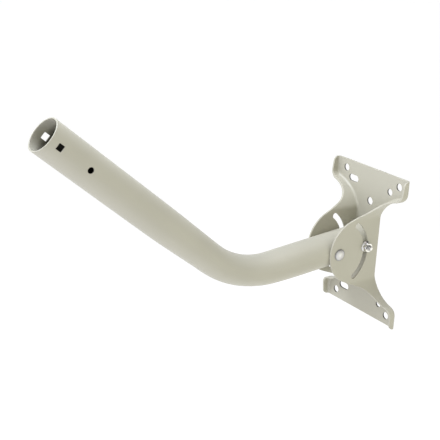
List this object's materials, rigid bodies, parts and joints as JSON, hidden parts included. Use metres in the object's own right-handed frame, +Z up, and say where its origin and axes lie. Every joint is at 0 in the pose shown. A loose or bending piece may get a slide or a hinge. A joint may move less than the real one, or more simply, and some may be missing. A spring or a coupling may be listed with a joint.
{
  "type": "antenna mast mount",
  "caption": "Bent steel J-mount that holds a satellite dish: a tube mast that tilts between the ears of a pressed wall foot and is clamped by bolts.",
  "frame": {"origin": "centre of the foot's back face, the flat face that lies on the wall or roof", "axes": "+Z up along the wall, +Y into the wall, so the mast stands out towards -Y; X across, along the tilt pivot"},
  "size_m": [0.1342, 0.4621, 0.3031],
  "materials": {
    "powder_coat": "semi-gloss powder coat, warm light grey",
    "zinc": "bright zinc plate"
  },
  "bodies": {
    "foot": {"foot_bracket": "powder_coat", "pivot_bolt": "zinc"},
    "mast": {"mast_tube": "powder_coat", "clamp_bolt": "zinc"},
    "pivot_nut": {"pivot_nut": "zinc"},
    "clamp_nut": {"clamp_nut": "zinc"}
  },
  "joints": [
    {"name": "mast_tilt", "type": "hinge", "parent": "foot", "child": "mast", "pos_m": [0, -0.0665, 0], "axis": [1, 0, 0], "range_deg": [-52.8, 42.2]},
    {"name": "pivot_nut_turn", "type": "hinge", "parent": "foot", "child": "pivot_nut", "pos_m": [-0.0235, -0.0665, 0], "axis": [-1, 0, 0], "continuous": true},
    {"name": "clamp_nut_turn", "type": "hinge", "parent": "mast", "child": "clamp_nut", "pos_m": [0.0235, -0.02368, 0.00397], "axis": [1, 0, 0], "continuous": true}
  ]
}
